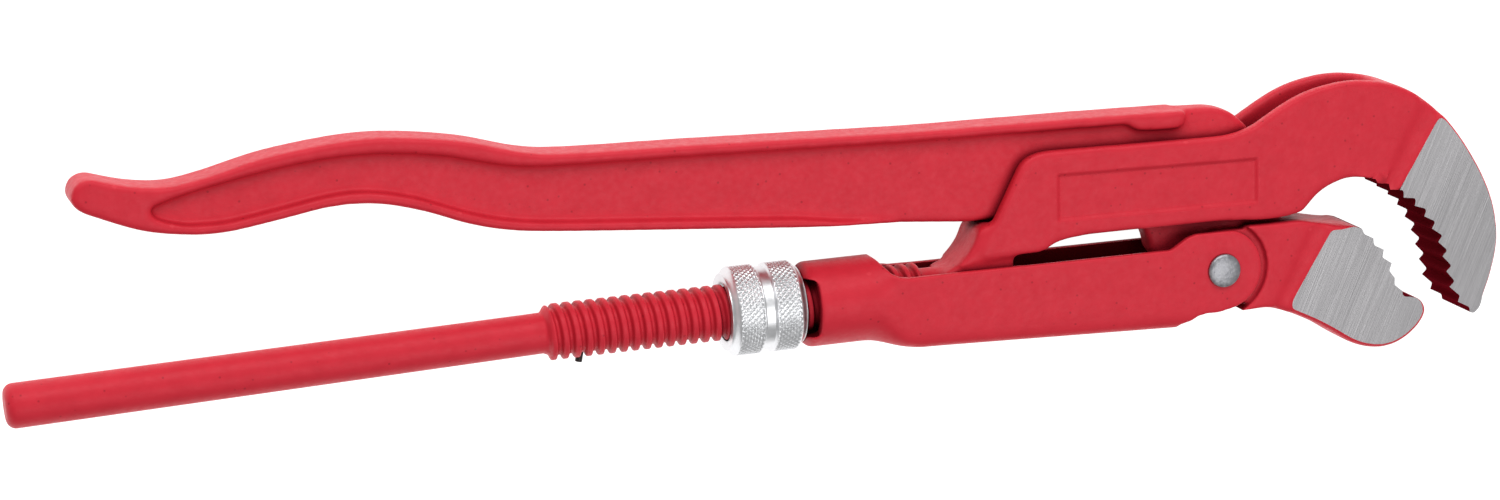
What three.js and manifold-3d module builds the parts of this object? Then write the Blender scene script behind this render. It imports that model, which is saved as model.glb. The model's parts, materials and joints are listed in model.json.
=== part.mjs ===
// Swedish-pattern pipe wrench with 45 degree S-jaws, modelled as its six separate pieces.
// Millimetres. X runs along the thread towards the jaws, Y towards the curved handle, Z is the thickness.
// While the pieces are made, the origin is where the thread meets the round handle, on the thread's axis.
import * as THREE from "three";
import { mergeVertices } from "three/addons/utils/BufferGeometryUtils.js";
import Module from "manifold-3d";

const wasm = await Module();
wasm.setup();

// ---- Driving dimensions ----

const HEAD_HALF = 9; // half the thickness of both jaws and of the forked cheeks
const SLOT_HALF = 4.6; // half the width of the slot that the heel arm passes through
const WEB_HALF = 4; // half the thickness of the heel arm's web
const FLANGE_HALF = 7; // half the width of the heel arm's flanges
const TONGUE_HALF = 7.6; // half the width of the heel arm's tongue between the ears
const FORGING_RECESS = 0.6; // step from the ground jaw faces down to the forged surface beside them

const THREAD_RADIUS = 7.6;
const THREAD_ROOT = 6.4;
const THREAD_PITCH = 3.25;
const THREAD_LENGTH = 106;
const THREAD_SEGMENTS = 18; // flats to one turn of the thread
const THREAD_GAP = 0.35; // clearance between the rod's thread and the nut's thread

const HANDLE_LENGTH = 144;
const HANDLE_RADIUS = 5.5;
const HANDLE_END_RADIUS = 5.95;
const HANDLE_BEND = THREE.MathUtils.degToRad(1.3);
const SHANK_RADIUS = 5.8;
const NECK_HALF = 7.2; // half the thickness of the neck between the sleeve's cheeks
const NECK_END = 131;

const NUT_START = 49.4;
const NUT_LENGTH = 21;
const NUT_RADIUS = 12.2;
const NUT_CHAMFER = 1.7; // how far the end faces are turned down, over a length of NUT_CHAMFER_LENGTH
const NUT_CHAMFER_LENGTH = 2;
const NUT_GROOVE_WIDTH = 3;
const NUT_GROOVE_DEPTH = 0.8;

const PIN_AT = 9;
const PIN_RADIUS = 1;
const PIN_REACH = 9.2; // from the thread's axis to the pin's outer end
const PIN_LEAN = THREE.MathUtils.degToRad(12);

const PIVOT = new THREE.Vector2(191.3, -2);
const SHOULDER_RADIUS = 13.6; // hollow in the lower jaw that the ears turn in
const EAR_RADIUS = 11.4;
const TONGUE_RADIUS = 10.6;
const RIVET_SHANK = 3.6;
const RIVET_HEAD = 4.7;
const RIVET_HEAD_HEIGHT = 1.3;

const SLEEVE_START = 71.1;
const SLEEVE_CHAMFER = 2; // bevel round the rear end
const SLEEVE_RING_END = 92;
const SLEEVE_RING_RADIUS = 11.7;
const SLEEVE_RING_DROP = 0.4; // the ring's centre lies this far below the thread's axis
const SLEEVE_BORE = 8.4;
const SLEEVE_HALF = 10.2; // half the width over the cheeks
const SLEEVE_WALL = 2.2;
const SLEEVE_BEND = 4.5; // outer bend radius where the cheeks meet the web
const SLEEVE_LEAD = 4; // the folded channel is drawn from this far behind the ring
const CHANNEL_LENGTH = 145;
const CHEEK_RISE = 6; // the cheeks rise into the ring over this length
const NOTCH_LENGTH = 3.4; // window in each side of the sleeve's rear end
const NOTCH_HALF = 7.7;
const SLEEVE_SLOPE = THREE.MathUtils.degToRad(2.3); // the web falls away from the thread towards the ears

const GAP = 0.3; // clearance where two separate pieces touch
const CURVE_SEGMENTS = 8;

const RED_PAINT = { color: 0xc8303c, roughness: 0.45, metalness: 0.0 };
const CHROME = { color: 0xd8d8dc, roughness: 0.18, metalness: 1.0 };
const RIVET_STEEL = { color: 0xb4b6b8, roughness: 0.4, metalness: 1.0 };
const PIN_STEEL = { color: 0x2a2626, roughness: 0.5, metalness: 0.8 };

// ---- Tools for solids ----

function toSolid(geometry) {
  const bare = geometry.clone();
  bare.deleteAttribute("normal");
  bare.deleteAttribute("uv");
  const merged = mergeVertices(bare, 1e-4);
  return new wasm.Manifold(
    new wasm.Mesh({
      numProp: 3,
      vertProperties: merged.attributes.position.array,
      triVerts: new Uint32Array(merged.index.array),
    }),
  );
}

function toMesh(name, solid, finish) {
  const made = solid.getMesh();
  const geometry = new THREE.BufferGeometry();
  geometry.setAttribute("position", new THREE.BufferAttribute(made.vertProperties, 3));
  geometry.setIndex(new THREE.BufferAttribute(made.triVerts, 1));
  const mesh = new THREE.Mesh(geometry, new THREE.MeshStandardMaterial(finish));
  mesh.name = name;
  return mesh;
}

// A flat outline in X and Y made into a slab from z = low to z = high.
function slab(outline, low, high) {
  const geometry = new THREE.ExtrudeGeometry(outline, {
    depth: high - low,
    bevelEnabled: false,
    curveSegments: CURVE_SEGMENTS,
  });
  return toSolid(geometry.translate(0, 0, low));
}

// A slab that is centred on the middle plane.
function plate(outline, half) {
  return slab(outline, -half, half);
}

// A solid of revolution about the X axis; the profile holds [x, radius] pairs that start and end on the axis.
function turned(profile, segments) {
  const points = profile.map(([x, radius]) => new THREE.Vector2(radius, x));
  return toSolid(new THREE.LatheGeometry(points, segments).rotateZ(-Math.PI / 2));
}

// A round bar along Z through a point.
function crossBar(center, radius, low, high, segments) {
  const geometry = new THREE.CylinderGeometry(radius, radius, high - low, segments);
  geometry.rotateX(Math.PI / 2);
  return toSolid(geometry.translate(center.x, center.y, (low + high) / 2));
}

function vectors(points) {
  return points.map(([x, y]) => new THREE.Vector2(x, y));
}

function polygon(points) {
  return new THREE.Shape(vectors(points));
}

// Teeth along a smooth line of roots: each crest stands off its root and leans along the line.
function teeth(outline, roots, count, depth, lean) {
  const line = new THREE.SplineCurve(vectors(roots));
  for (let i = 0; i < count; i++) {
    const at = i / (count - 1);
    const root = line.getPointAt(at);
    const along = line.getTangentAt(at);
    const rise = depth * Math.min(1, 0.45 + i * 0.3, 0.45 + (count - 1 - i) * 0.3);
    outline.lineTo(root.x, root.y);
    outline.lineTo(
      root.x + along.x * lean + along.y * rise,
      root.y + along.y * lean - along.x * rise,
    );
  }
}

// ---- Thread ----

// A threaded bar along X. Rows of points follow the helix, and the last flat of a turn joins the next turn.
function threadedBar(start, length, crest, root, crestWidth, rootWidth) {
  const flank = (THREAD_PITCH - crestWidth - rootWidth) / 2;
  const profile = [
    [0, crest],
    [crestWidth, crest],
    [crestWidth + flank, root],
    [crestWidth + flank + rootWidth, root],
  ];
  const rowsPerTurn = profile.length;
  const shift = Math.floor(start / THREAD_PITCH) - 2;
  const turns = Math.ceil(length / THREAD_PITCH) + 4;
  const rows = turns * rowsPerTurn;
  const positions = [];
  const indexOf = (row, flat) =>
    flat === THREAD_SEGMENTS ? indexOf(row + rowsPerTurn, 0) : row * THREAD_SEGMENTS + flat;
  for (let row = 0; row <= rows + rowsPerTurn; row++) {
    const [offset, radius] = profile[row % rowsPerTurn];
    for (let flat = 0; flat < THREAD_SEGMENTS; flat++) {
      const turn = Math.floor(row / rowsPerTurn) + flat / THREAD_SEGMENTS;
      const angle = (flat / THREAD_SEGMENTS) * 2 * Math.PI;
      const x = (shift + turn) * THREAD_PITCH + offset - crestWidth / 2;
      positions.push(x, radius * Math.cos(angle), radius * Math.sin(angle));
    }
  }
  const faces = [];
  for (let row = 0; row < rows; row++) {
    for (let flat = 0; flat < THREAD_SEGMENTS; flat++) {
      const a = indexOf(row, flat);
      const b = indexOf(row, flat + 1);
      const c = indexOf(row + 1, flat + 1);
      const d = indexOf(row + 1, flat);
      faces.push(a, b, c, a, c, d);
    }
  }
  closeThreadEnd(positions, faces, indexOf, 0, rowsPerTurn, true);
  closeThreadEnd(positions, faces, indexOf, rows, rowsPerTurn, false);
  const geometry = new THREE.BufferGeometry();
  geometry.setAttribute("position", new THREE.Float32BufferAttribute(positions, 3));
  geometry.setIndex(faces);
  const whole = toSolid(geometry);
  const span = turned(
    [
      [start, 0],
      [start, crest + 2],
      [start + length, crest + 2],
      [start + length, 0],
    ],
    THREAD_SEGMENTS,
  );
  return whole.intersect(span);
}

// Closes one end of the helical surface with a fan about a point on the axis.
function closeThreadEnd(positions, faces, indexOf, row, rowsPerTurn, flip) {
  const loop = [];
  for (let flat = 0; flat < THREAD_SEGMENTS; flat++) loop.push(indexOf(row, flat));
  for (let step = rowsPerTurn; step > 0; step--) loop.push(indexOf(row + step, 0));
  const middle = positions.length / 3;
  positions.push(positions[loop[0] * 3] + THREAD_PITCH / 2, 0, 0);
  for (let i = 0; i < loop.length; i++) {
    const next = loop[(i + 1) % loop.length];
    if (flip) faces.push(middle, next, loop[i]);
    else faces.push(middle, loop[i], next);
  }
}

// ---- Hook arm: hook jaw, fork, neck, shank, thread and round handle in one forging ----

const FORK_TOP_LEFT = [135.8, 36.4];
const FORK_SHOULDER = [199.5, 35.2];
const SLOT_END = 238; // the slot runs from the saddle to here, where the hook becomes solid
const SADDLE_TOP = 17.6;
const SADDLE_HALF = 8.2;

const HOOK_TOOTH_ROOTS = [
  [238, 18.8],
  [247.6, 14.1],
  [254, 8],
  [258.3, 0.3],
  [260.8, -8.1],
  [262.8, -16.4],
  [266.4, -21.2],
];
const HOOK_TEETH = 12;

function hookOutline() {
  const o = new THREE.Shape();
  o.moveTo(121, 9.5);
  o.lineTo(122.4, 13);
  o.lineTo(133.2, 33);
  o.quadraticCurveTo(...FORK_TOP_LEFT, 142, 36.4);
  o.lineTo(191, 35.3);
  o.quadraticCurveTo(...FORK_SHOULDER, 205, 38.9);
  o.splineThru(
    vectors([
      [214.2, 43.7],
      [223.1, 46.3],
      [234, 47],
      [247, 43.9],
      [258.5, 35.6],
      [267.3, 23.8],
      [273.6, 10.6],
      [275.5, -1.5],
      [273.4, -12],
      [270, -20.4],
    ]),
  );
  o.quadraticCurveTo(268.4, -23.6, 266.8, -22.9);
  const mouth = new THREE.Shape();
  teeth(mouth, HOOK_TOOTH_ROOTS, HOOK_TEETH, 1.9, 1.1);
  for (const curve of mouth.curves.slice().reverse()) o.lineTo(curve.v2.x, curve.v2.y);
  o.lineTo(...HOOK_TOOTH_ROOTS[0]);
  o.splineThru(
    vectors([
      [231.5, 19.8],
      [225.5, 18.6],
      [220.5, 15.9],
      [216.2, 11.6],
    ]),
  );
  o.quadraticCurveTo(210.5, 10.2, 204, 10.4);
  o.quadraticCurveTo(194, 11.6, 183, 11.6);
  o.lineTo(153, 11.8);
  o.quadraticCurveTo(143.5, 11.5, 141.5, 9.9);
  o.quadraticCurveTo(139.5, 8.4, 137, 8.4);
  o.lineTo(123, 8.6);
  o.closePath();
  return o;
}

// The slot between the cheeks, open above, below and into the mouth.
function slotOutline() {
  const o = new THREE.Shape();
  o.moveTo(100, SADDLE_TOP);
  o.lineTo(122, SADDLE_TOP);
  o.quadraticCurveTo(126, SADDLE_TOP, 128.5, 14);
  o.lineTo(NECK_END, 8);
  o.lineTo(NECK_END, -20);
  o.lineTo(SLOT_END - 6, -20);
  o.lineTo(SLOT_END - 6, 19);
  o.quadraticCurveTo(SLOT_END - 4, 34, SLOT_END + 3, 47);
  o.lineTo(SLOT_END + 3, 60);
  o.lineTo(100, 60);
  o.closePath();
  return o;
}

// The neck that lifts the shank into the fork, seen from the side.
function neckOutline() {
  const o = new THREE.Shape();
  o.moveTo(110.5, -5.4);
  o.lineTo(126, -5.6);
  o.quadraticCurveTo(130, -5.2, NECK_END, -1);
  o.lineTo(NECK_END, 12);
  o.lineTo(124, 14);
  o.lineTo(122, 12);
  o.lineTo(116.5, 7.2);
  o.lineTo(110.5, 5.4);
  o.closePath();
  return o;
}

// The rough bridge between the two cheeks that the curved handle rests on.
function saddleOutline() {
  const o = new THREE.Shape();
  o.moveTo(114.5, 7);
  o.quadraticCurveTo(119, 10.8, 120, 14.2);
  o.quadraticCurveTo(121, SADDLE_TOP, 124.5, SADDLE_TOP);
  o.quadraticCurveTo(127.5, SADDLE_TOP - 0.4, 129.5, 12);
  o.lineTo(NECK_END, 8);
  o.closePath();
  return o;
}

// The part of a jaw's side beyond its ground face is a little lower than the ground steel.
function forgedBand(outline) {
  const front = slab(outline, HEAD_HALF - FORGING_RECESS, HEAD_HALF + 1);
  const rear = slab(outline, -HEAD_HALF - 1, FORGING_RECESS - HEAD_HALF);
  return front.add(rear);
}

const HOOK_BAND = [
  [252, 45],
  [261, 38],
  [257.8, 34.6],
  [245.2, 14.6],
  [243, 10],
  [238.5, 15],
  [241, 17.9],
  [252.3, 39],
];

const PANEL = [
  [143.9, 29.6],
  [202.4, 28.2],
  [202.2, 16],
  [143.6, 17],
];
const PANEL_DEPTH = 0.4;

function roundHandle() {
  const bar = turned(
    [
      [-HANDLE_LENGTH, 0],
      [-HANDLE_LENGTH, HANDLE_END_RADIUS - 2.2],
      [-HANDLE_LENGTH + 0.9, HANDLE_END_RADIUS - 0.7],
      [-HANDLE_LENGTH + 2.6, HANDLE_END_RADIUS],
      [-HANDLE_LENGTH + 60, (HANDLE_RADIUS + HANDLE_END_RADIUS) / 2],
      [1, HANDLE_RADIUS],
      [1, 0],
    ],
    24,
  );
  const bent = new THREE.Matrix4().makeRotationZ(HANDLE_BEND);
  return bar.transform(bent.elements);
}

function hookArm() {
  const head = plate(hookOutline(), HEAD_HALF)
    .subtract(plate(slotOutline(), SLOT_HALF))
    .subtract(forgedBand(polygon(HOOK_BAND)))
    .subtract(slab(polygon(PANEL), HEAD_HALF - PANEL_DEPTH, HEAD_HALF + 1))
    .subtract(slab(polygon(PANEL), -HEAD_HALF - 1, PANEL_DEPTH - HEAD_HALF));
  const neck = plate(neckOutline(), NECK_HALF);
  const saddle = plate(saddleOutline(), SADDLE_HALF);
  const shank = turned(
    [
      [THREAD_LENGTH - 1, 0],
      [THREAD_LENGTH - 1, SHANK_RADIUS],
      [118, SHANK_RADIUS],
      [118, 0],
    ],
    24,
  );
  const crestWidth = 0.9;
  const rootWidth = 0.9;
  const thread = threadedBar(0, THREAD_LENGTH, THREAD_RADIUS, THREAD_ROOT, crestWidth, rootWidth);
  const arm = head.add(neck).add(saddle).add(shank).add(thread).add(roundHandle());
  return arm.subtract(stopPin(PIN_RADIUS + GAP, PIN_REACH + 1, GAP));
}

// ---- Stop pin: pressed into the thread near the round handle, so that the nut can't come off ----

function stopPin(radius, reach, deeper) {
  const inner = THREAD_ROOT - 3.2 - deeper;
  const geometry = new THREE.CylinderGeometry(radius, radius, reach - inner, 12);
  geometry.translate(0, -(reach + inner) / 2, 0);
  geometry.rotateZ(-PIN_LEAN);
  return toSolid(geometry.translate(PIN_AT + 1.6, 0, 0));
}

// ---- Heel arm: curved handle of I-section, crossing web, tongue and lower jaw in one forging ----

const HANDLE_TOP = [
  [-118, 55.2],
  [-108.3, 52.3],
  [-98.4, 51.1],
  [-88.3, 52.5],
  [-71.9, 56.2],
  [-51.9, 58.3],
  [-37.7, 57.9],
  [-20, 55.1],
  [-4, 50.6],
  [8.8, 49],
  [40, 47.9],
];
const HANDLE_BOTTOM = [
  [70, 22.2],
  [34.8, 25.4],
  [4, 28.3],
  [-9, 30],
  [-20, 32.9],
  [-32, 37.6],
  [-44, 40.8],
  [-56, 41.3],
  [-70, 39.3],
  [-84, 37.5],
  [-94, 37.9],
  [-106, 40.3],
  [-119, 45.7],
];
const RECESS_TOP = [
  [-102.5, 46.4],
  [-92, 49.1],
  [-75, 52.2],
  [-60, 54],
  [-45, 54.3],
  [-27, 52.1],
  [-8, 47.4],
  [8, 46],
  [36, 45.1],
];
const RECESS_BOTTOM = [
  [70, 24.8],
  [35, 28.1],
  [4.2, 30.9],
  [-9, 32.8],
  [-20, 35.9],
  [-34, 41.4],
  [-46, 44.2],
  [-56, 44.3],
  [-70, 42.2],
  [-84, 40.2],
  [-94, 40.5],
];
const UNDERSIDE = SADDLE_TOP + GAP + 0.1; // flat underside that slides over the saddle

function heelOutline() {
  const o = new THREE.Shape();
  o.moveTo(...HANDLE_TOP[0]);
  o.splineThru(vectors(HANDLE_TOP.slice(1)));
  o.lineTo(105, 45.1);
  o.lineTo(151, 44.2);
  o.lineTo(189, 43.1);
  o.quadraticCurveTo(195.5, 42.8, 199, 39.6);
  o.lineTo(202.3, 36.4);
  o.quadraticCurveTo(205.6, 24, 208.5, 16);
  o.lineTo(212, 8);
  o.lineTo(214, -12);
  o.lineTo(188, -12.4);
  o.lineTo(180.2, -6);
  o.lineTo(172.2, 4.6);
  o.quadraticCurveTo(171.8, 10, 168.5, 14);
  o.quadraticCurveTo(165.5, UNDERSIDE, 160, UNDERSIDE);
  o.lineTo(119, UNDERSIDE);
  o.lineTo(100, 19.9);
  o.lineTo(...HANDLE_BOTTOM[0]);
  o.splineThru(vectors(HANDLE_BOTTOM.slice(1)));
  o.quadraticCurveTo(-122.6, 47.2, -123.4, 50);
  o.quadraticCurveTo(-123.2, 54.9, -118, 55.2);
  return o;
}

// Everything that is lower than the flanges: the recess in the curved handle and the web beyond it.
function recessOutline() {
  const o = new THREE.Shape();
  o.moveTo(...RECESS_TOP[0]);
  o.splineThru(vectors(RECESS_TOP.slice(1)));
  o.lineTo(101, 42.6);
  o.lineTo(165.5, 41.1);
  o.quadraticCurveTo(168, 38.9, 170.5, 38.8);
  o.lineTo(179.6, 38.4);
  o.quadraticCurveTo(182.6, 38.6, 182.8, 41.2);
  o.lineTo(182.8, 60);
  o.lineTo(260, 60);
  o.lineTo(260, -60);
  o.lineTo(112, -60);
  o.lineTo(104, 19.2);
  o.lineTo(...RECESS_BOTTOM[0]);
  o.splineThru(vectors(RECESS_BOTTOM.slice(1)));
  o.quadraticCurveTo(-106, 43, -102.5, 46.4);
  return o;
}

const HEEL_TOOTH_ROOTS = [
  [246, -15.9],
  [243, -11.6],
  [241.7, -7.8],
  [239.9, -4.2],
  [237.6, -0.6],
  [234.3, 3.4],
];
const HEEL_TEETH = 6;

function lowerJawOutline() {
  const o = new THREE.Shape();
  const top = THREE.MathUtils.degToRad(57);
  const bottom = THREE.MathUtils.degToRad(-66);
  const shoulder = (angle) => [
    PIVOT.x + SHOULDER_RADIUS * Math.cos(angle),
    PIVOT.y + SHOULDER_RADIUS * Math.sin(angle),
  ];
  o.moveTo(...shoulder(bottom));
  o.absarc(PIVOT.x, PIVOT.y, SHOULDER_RADIUS, bottom, top, false);
  o.lineTo(206, 9.3);
  o.lineTo(215, 9.4);
  o.quadraticCurveTo(222, 7.6, 231, 6);
  const bite = new THREE.Shape();
  teeth(bite, HEEL_TOOTH_ROOTS, HEEL_TEETH, 1.5, 1.7);
  for (const curve of bite.curves.slice().reverse()) o.lineTo(curve.v2.x, curve.v2.y);
  o.lineTo(...HEEL_TOOTH_ROOTS[0]);
  o.quadraticCurveTo(252, -16.2, 253.6, -20);
  o.quadraticCurveTo(253.4, -22.6, 250.5, -25.4);
  o.quadraticCurveTo(245.5, -30.1, 240, -30.2);
  o.quadraticCurveTo(234.5, -30.4, 228.6, -26.8);
  o.quadraticCurveTo(216, -17.6, 205, -14.6);
  o.closePath();
  return o;
}

const HEEL_BAND = [
  [218.5, 8],
  [224.6, 8],
  [224.1, 5.2],
  [212, -13.8],
  [212, -19],
  [205, -17],
  [207.5, -13],
];

function heelArm() {
  const arm = plate(heelOutline(), WEB_HALF);
  const flanges = plate(heelOutline(), FLANGE_HALF).subtract(plate(recessOutline(), FLANGE_HALF + 1));
  const tongue = crossBar(PIVOT, TONGUE_RADIUS, -TONGUE_HALF, TONGUE_HALF, 40);
  const root = plate(
    polygon([
      [PIVOT.x, PIVOT.y - TONGUE_RADIUS],
      [216, -12],
      [216, 8],
      [PIVOT.x + 2, PIVOT.y + TONGUE_RADIUS],
    ]),
    TONGUE_HALF,
  );
  const jaw = plate(lowerJawOutline(), HEAD_HALF).subtract(forgedBand(polygon(HEEL_BAND)));
  const hole = crossBar(PIVOT, RIVET_SHANK + GAP, -HEAD_HALF, HEAD_HALF, 32);
  return arm.add(flanges).add(tongue).add(root).add(jaw).subtract(hole);
}

// ---- Sleeve: sheet rolled round the thread at its rear end, and folded to a channel with two ears ----

function sleeveSideOutline() {
  const o = new THREE.Shape();
  o.moveTo(SLEEVE_RING_END - CHEEK_RISE, -30);
  o.lineTo(176, -30);
  o.lineTo(178.4, -16.4);
  o.quadraticCurveTo(182, -15.8, 183.6, -14.4);
  o.quadraticCurveTo(186, -13.9, 189.5, -14);
  o.lineTo(194, -13.2);
  o.absarc(PIVOT.x, PIVOT.y, EAR_RADIUS, THREE.MathUtils.degToRad(-76), THREE.MathUtils.degToRad(71), false);
  o.lineTo(181, 9.2);
  o.lineTo(175.8, 5.2);
  o.lineTo(100, 5.9);
  o.quadraticCurveTo(95.5, 6.2, 93.5, 8.6);
  o.quadraticCurveTo(91.5, 11.2, SLEEVE_RING_END - CHEEK_RISE, 11.4);
  o.closePath();
  return o;
}

// Cross-section of the channel, drawn across the width and up the cheeks, with its folds rounded.
function channelSection(half, bottom, bend) {
  const o = new THREE.Shape();
  const top = 20;
  o.moveTo(-half, top);
  o.lineTo(-half, bottom + bend);
  o.absarc(-half + bend, bottom + bend, bend, Math.PI, 1.5 * Math.PI, false);
  o.absarc(half - bend, bottom + bend, bend, 1.5 * Math.PI, 2 * Math.PI, false);
  o.lineTo(half, top);
  o.closePath();
  return o;
}

function channel(half, bottom, bend, start) {
  const geometry = new THREE.ExtrudeGeometry(channelSection(half, bottom, bend), {
    depth: CHANNEL_LENGTH,
    bevelEnabled: false,
    curveSegments: 4,
  });
  geometry.rotateY(Math.PI / 2);
  geometry.rotateZ(-SLEEVE_SLOPE);
  return toSolid(geometry.translate(start, 0, 0));
}

function sleeve() {
  const webAtStart = -SLEEVE_RING_RADIUS - 1.2;
  const outer = channel(SLEEVE_HALF, webAtStart, SLEEVE_BEND, SLEEVE_START - SLEEVE_LEAD);
  const inner = channel(
    SLEEVE_HALF - SLEEVE_WALL,
    webAtStart + SLEEVE_WALL,
    SLEEVE_BEND - SLEEVE_WALL,
    SLEEVE_START - SLEEVE_LEAD,
  );
  const fold = plate(sleeveSideOutline(), SLEEVE_HALF + 5);
  const ringLength = SLEEVE_RING_END - SLEEVE_START;
  const level = turned(
    [
      [0, 0],
      [0, SLEEVE_RING_RADIUS - SLEEVE_CHAMFER],
      [SLEEVE_CHAMFER, SLEEVE_RING_RADIUS],
      [ringLength, SLEEVE_RING_RADIUS],
      [ringLength, 0],
    ],
    32,
  );
  const lean = new THREE.Matrix4().makeTranslation(SLEEVE_START, -SLEEVE_RING_DROP, 0);
  const ring = level.transform(lean.multiply(new THREE.Matrix4().makeRotationZ(-SLEEVE_SLOPE)).elements);
  const bore = turned(
    [
      [SLEEVE_START - 1, 0],
      [SLEEVE_START - 1, SLEEVE_BORE],
      [SLEEVE_RING_END + 1, SLEEVE_BORE],
      [SLEEVE_RING_END + 1, 0],
    ],
    32,
  );
  const behindRing = slab(
    polygon([
      [SLEEVE_RING_END - 2, -40],
      [260, -40],
      [260, 40],
      [SLEEVE_RING_END - 2, 40],
    ]),
    -20,
    20,
  );
  const holes = crossBar(PIVOT, RIVET_SHANK + GAP, -SLEEVE_HALF - 1, SLEEVE_HALF + 1, 32);
  const notch = plate(
    polygon([
      [SLEEVE_START - 2, -NOTCH_HALF],
      [SLEEVE_START + NOTCH_LENGTH, -NOTCH_HALF],
      [SLEEVE_START + NOTCH_LENGTH, NOTCH_HALF],
      [SLEEVE_START - 2, NOTCH_HALF],
    ]),
    SLEEVE_RING_RADIUS + 1,
  );
  const folded = outer.intersect(fold).add(ring).subtract(inner.intersect(behindRing));
  return folded.subtract(bore).subtract(notch).subtract(holes);
}

// ---- Adjusting nut and rivet ----

function adjustingNut() {
  const end = NUT_START + NUT_LENGTH;
  const middle = NUT_START + NUT_LENGTH / 2;
  const groove = NUT_GROOVE_WIDTH / 2;
  const body = turned(
    [
      [NUT_START, 0],
      [NUT_START, NUT_RADIUS - NUT_CHAMFER],
      [NUT_START + NUT_CHAMFER_LENGTH, NUT_RADIUS],
      [middle - groove, NUT_RADIUS],
      [middle - groove, NUT_RADIUS - NUT_GROOVE_DEPTH],
      [middle + groove, NUT_RADIUS - NUT_GROOVE_DEPTH],
      [middle + groove, NUT_RADIUS],
      [end - NUT_CHAMFER_LENGTH, NUT_RADIUS],
      [end, NUT_RADIUS - NUT_CHAMFER],
      [end, 0],
    ],
    36,
  );
  const crestWidth = 1.3;
  const rootWidth = 0.5;
  const thread = threadedBar(
    NUT_START - 1,
    NUT_LENGTH + 2,
    THREAD_RADIUS + THREAD_GAP,
    THREAD_ROOT + THREAD_GAP,
    crestWidth,
    rootWidth,
  );
  return body.subtract(thread);
}

function pivotRivet() {
  const dome = [];
  for (let step = 0; step <= 5; step++) {
    const angle = (step / 5) * (Math.PI / 2);
    dome.push([RIVET_HEAD * Math.cos(angle), RIVET_HEAD_HEIGHT * Math.sin(angle)]);
  }
  const under = SLEEVE_HALF + GAP;
  const half = [[RIVET_SHANK, under], ...dome.map(([radius, height]) => [radius, under + height])];
  half[half.length - 1][0] = 0;
  const points = [...half.slice().reverse().map(([radius, z]) => [radius, -z]), ...half];
  const geometry = new THREE.LatheGeometry(vectors(points), 32);
  geometry.rotateX(Math.PI / 2);
  return toSolid(geometry.translate(PIVOT.x, PIVOT.y, 0));
}

// ---- Assembly ----

const wrench = new THREE.Group();
wrench.name = "pipe_wrench";
wrench.add(toMesh("hook_arm", hookArm(), RED_PAINT));
wrench.add(toMesh("nut_stop_pin", stopPin(PIN_RADIUS, PIN_REACH, 0), PIN_STEEL));
wrench.add(toMesh("heel_arm", heelArm(), RED_PAINT));
wrench.add(toMesh("sleeve", sleeve(), RED_PAINT));
wrench.add(toMesh("pivot_rivet", pivotRivet(), RIVET_STEEL));
wrench.add(toMesh("adjusting_nut", adjustingNut(), CHROME));

// The finished part's origin is under the middle of its bounding box.
const box = new THREE.Box3().setFromObject(wrench);
const middle = box.getCenter(new THREE.Vector3());
wrench.position.set(-middle.x, -middle.y, -box.min.z);

export default wrench;
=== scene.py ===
"""Looks of the pipe wrench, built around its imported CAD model.

Shapes are worked in millimetres on the wrench's own lines: x from the start of the thread towards the
jaws, y from the thread's axis towards the curved handle, z from the middle plane. TO_FRAME turns them
into the frame. The two forgings and the stop pin start from their CAD nodes; the sleeve, nut and rivet
are built here.
"""

import json
import math

import bmesh
import bpy
import numpy as np
from mathutils import Matrix, Vector


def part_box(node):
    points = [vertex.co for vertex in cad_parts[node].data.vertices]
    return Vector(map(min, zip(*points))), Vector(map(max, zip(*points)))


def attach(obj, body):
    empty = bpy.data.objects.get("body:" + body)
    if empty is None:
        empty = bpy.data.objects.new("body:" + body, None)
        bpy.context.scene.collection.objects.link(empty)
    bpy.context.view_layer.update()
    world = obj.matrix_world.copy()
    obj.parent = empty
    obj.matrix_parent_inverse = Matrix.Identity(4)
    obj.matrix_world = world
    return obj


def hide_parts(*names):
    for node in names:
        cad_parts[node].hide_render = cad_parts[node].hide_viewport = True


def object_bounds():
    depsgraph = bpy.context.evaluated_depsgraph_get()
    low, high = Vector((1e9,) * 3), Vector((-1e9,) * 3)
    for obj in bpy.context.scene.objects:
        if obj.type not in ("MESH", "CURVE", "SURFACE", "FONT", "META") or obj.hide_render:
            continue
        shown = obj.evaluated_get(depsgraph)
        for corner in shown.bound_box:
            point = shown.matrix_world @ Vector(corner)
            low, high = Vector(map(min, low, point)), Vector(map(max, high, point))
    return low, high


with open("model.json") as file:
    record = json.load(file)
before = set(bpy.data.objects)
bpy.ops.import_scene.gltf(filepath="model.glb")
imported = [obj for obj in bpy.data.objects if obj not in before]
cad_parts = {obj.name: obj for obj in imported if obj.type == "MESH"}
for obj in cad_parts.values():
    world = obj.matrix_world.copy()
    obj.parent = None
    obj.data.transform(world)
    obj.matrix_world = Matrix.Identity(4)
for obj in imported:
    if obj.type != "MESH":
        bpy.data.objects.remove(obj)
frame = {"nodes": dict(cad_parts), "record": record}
cad_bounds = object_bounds()

MM = 0.001
JOIN_DISTANCE = 0.002
SHARP = math.radians(38)

# The joint that the heel arm swings on, on the wrench's own lines.
PIVOT_X = 191.3
PIVOT_Y = -2.0

joints = {joint["name"]: joint for joint in frame["record"]["behaviour"]["joints"]}
pivot = Vector(joints["heel_swing"]["pos_m"])
thread_start = pivot - Vector((PIVOT_X, PIVOT_Y, 0)) * MM
TO_FRAME = Matrix.Translation(thread_start) @ Matrix.Diagonal((MM, MM, MM, 1))
TO_WRENCH = TO_FRAME.inverted()


# ---- Mesh tools ----


def new_object(name, mesh):
    obj = bpy.data.objects.new(name, mesh)
    bpy.context.scene.collection.objects.link(obj)
    return obj


def mesh_of(name, points, faces):
    mesh = bpy.data.meshes.new(name)
    mesh.from_pydata([tuple(p) for p in points], [], [tuple(f) for f in faces])
    mesh.update()
    return mesh


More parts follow.
